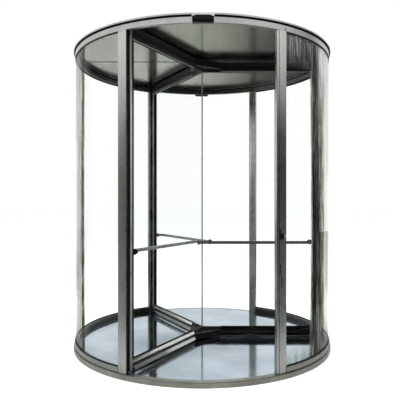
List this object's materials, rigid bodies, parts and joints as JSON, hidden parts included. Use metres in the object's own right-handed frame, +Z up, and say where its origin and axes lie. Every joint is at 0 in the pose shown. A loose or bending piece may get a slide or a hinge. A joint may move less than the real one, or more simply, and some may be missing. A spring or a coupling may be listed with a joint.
{
  "type": "revolving door",
  "caption": "All-glass revolving door for a building entrance: a glazed rotor of wings with push bars turns in a drum of curved glass walls, posts and a slim canopy",
  "frame": {"origin": "on the turning axis, at the underside of the base", "axes": "+Z up, front opening towards -Y, +X to the right seen from the front"},
  "size_m": [2.5, 2.562, 2.814],
  "materials": {
    "satin_metal": "satin anodised",
    "base_metal": "satin anodised, weathered",
    "stainless_steel": "brushed",
    "clear_glass": "clear, polished",
    "black_rubber": "matte",
    "brush_pile": "dense bristle pile",
    "black_metal": "matte black",
    "sensor_plastic": "gloss black",
    "lock_black": "satin black",
    "polished_floor": "polished to a mirror",
    "bracket_metal": "satin light grey",
    "gloss_ceiling": "high gloss",
    "grey_metal": "galvanised grey",
    "joint_grey": "satin"
  },
  "bodies": {
    "drum": {"base_ring": "base_metal", "floor_pan": "grey_metal", "floor_plate": "polished_floor", "wall_rail_left": "satin_metal", "wall_rail_right": "satin_metal", "wall_glass_left": "clear_glass", "wall_glass_right": "clear_glass", "wall_gasket_left": "black_rubber", "wall_gasket_right": "black_rubber", "post_front_left": "satin_metal", "post_front_right": "satin_metal", "post_back_left": "satin_metal", "post_back_right": "satin_metal", "fascia_ring": "satin_metal", "shadow_gap_ring": "black_metal", "cap_ring": "satin_metal", "ceiling_panels": "gloss_ceiling", "roof_cover": "grey_metal", "sensor_front": "sensor_plastic", "sensor_back": "sensor_plastic", "sensor_brackets": "bracket_metal", "lock_fittings": "lock_black", "lock_ring": "stainless_steel", "ceiling_joint_strip": "black_metal", "floor_bearing": "stainless_steel", "ceiling_bearing": "stainless_steel"},
    "rotor": {"hub_bottom": "satin_metal", "hub_top": "satin_metal", "centre_joint": "joint_grey", "right_wing_glass": "clear_glass", "right_wing_stile": "satin_metal", "right_wing_bottom_rail": "satin_metal", "right_wing_top_rail": "satin_metal", "right_wing_push_bar": "stainless_steel", "back_left_wing_glass": "clear_glass", "back_left_wing_stile": "satin_metal", "back_left_wing_bottom_rail": "satin_metal", "back_left_wing_top_rail": "satin_metal", "back_left_wing_push_bar": "stainless_steel", "front_left_wing_glass": "clear_glass", "front_left_wing_stile": "satin_metal", "front_left_wing_bottom_rail": "satin_metal", "front_left_wing_top_rail": "satin_metal", "front_left_wing_push_bar": "stainless_steel", "seal_carriers": "black_metal", "edge_brushes": "brush_pile", "rail_brushes": "brush_pile", "glazing_gaskets": "black_rubber"}
  },
  "joints": [
    {"name": "rotor_turn", "type": "hinge", "parent": "drum", "child": "rotor", "pos_m": [0, 0, 0.065], "axis": [0, 0, 1], "continuous": true}
  ]
}
